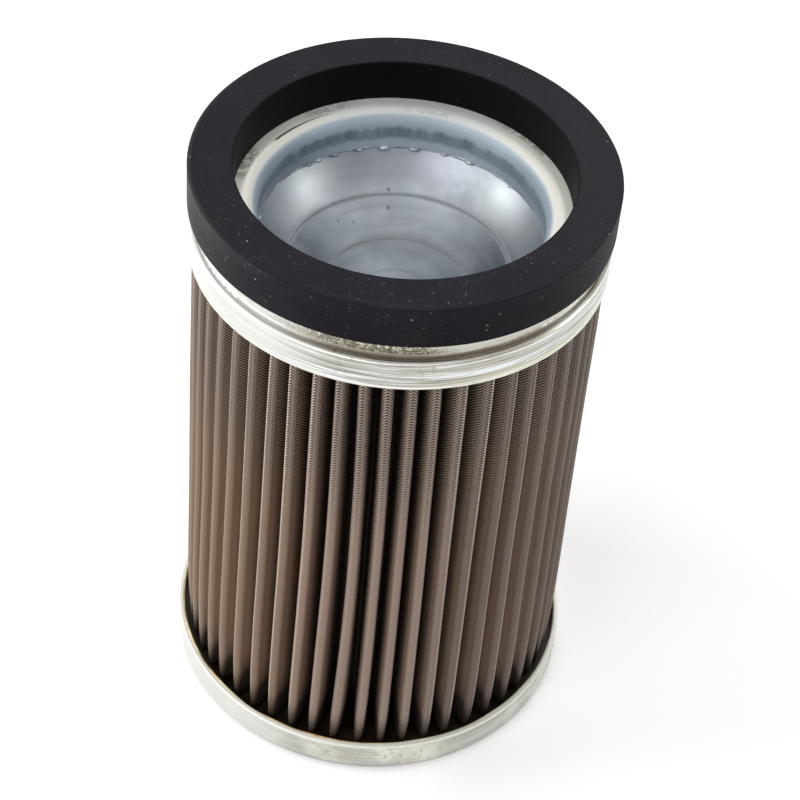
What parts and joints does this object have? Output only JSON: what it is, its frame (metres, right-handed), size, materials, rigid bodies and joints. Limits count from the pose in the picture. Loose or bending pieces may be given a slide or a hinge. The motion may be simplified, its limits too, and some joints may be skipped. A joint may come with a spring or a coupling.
{
  "type": "hydraulic pump strainer",
  "caption": "Pleated wire mesh suction strainer with pressed end caps, a closed dish below its top neck, a thick rubber sealing ring and an open outlet collar underneath.",
  "frame": {"origin": "on the axis, at the underside of the bottom end cap", "axes": "+Z along the axis, from the bottom end cap up to the rubber ring; the picture looks from -Y, and the seam clip of the pleats is at +Y"},
  "size_m": [0.0934, 0.0934, 0.1435],
  "materials": {
    "rubber_black": "matte, dusty",
    "zinc_plate": "zinc plated, satin, with fine scratches",
    "zinc_dish": "smooth zinc plated, blue-grey",
    "solder": "uneven solder, grey",
    "wire_cloth": "woven wire, dull",
    "tube_steel": "plain steel",
    "cast_adhesive": "brown cast adhesive"
  },
  "bodies": {
    "root": {"gasket": "rubber_black", "top_end_cap": "zinc_plate", "closing_dish": "zinc_dish", "solder_seam": "solder", "support_tube": "tube_steel", "top_bond_ring": "cast_adhesive", "bottom_bond_ring": "cast_adhesive", "filter_mesh": "wire_cloth", "seam_clip": "tube_steel", "bottom_end_cap": "zinc_plate"}
  },
  "joints": []
}
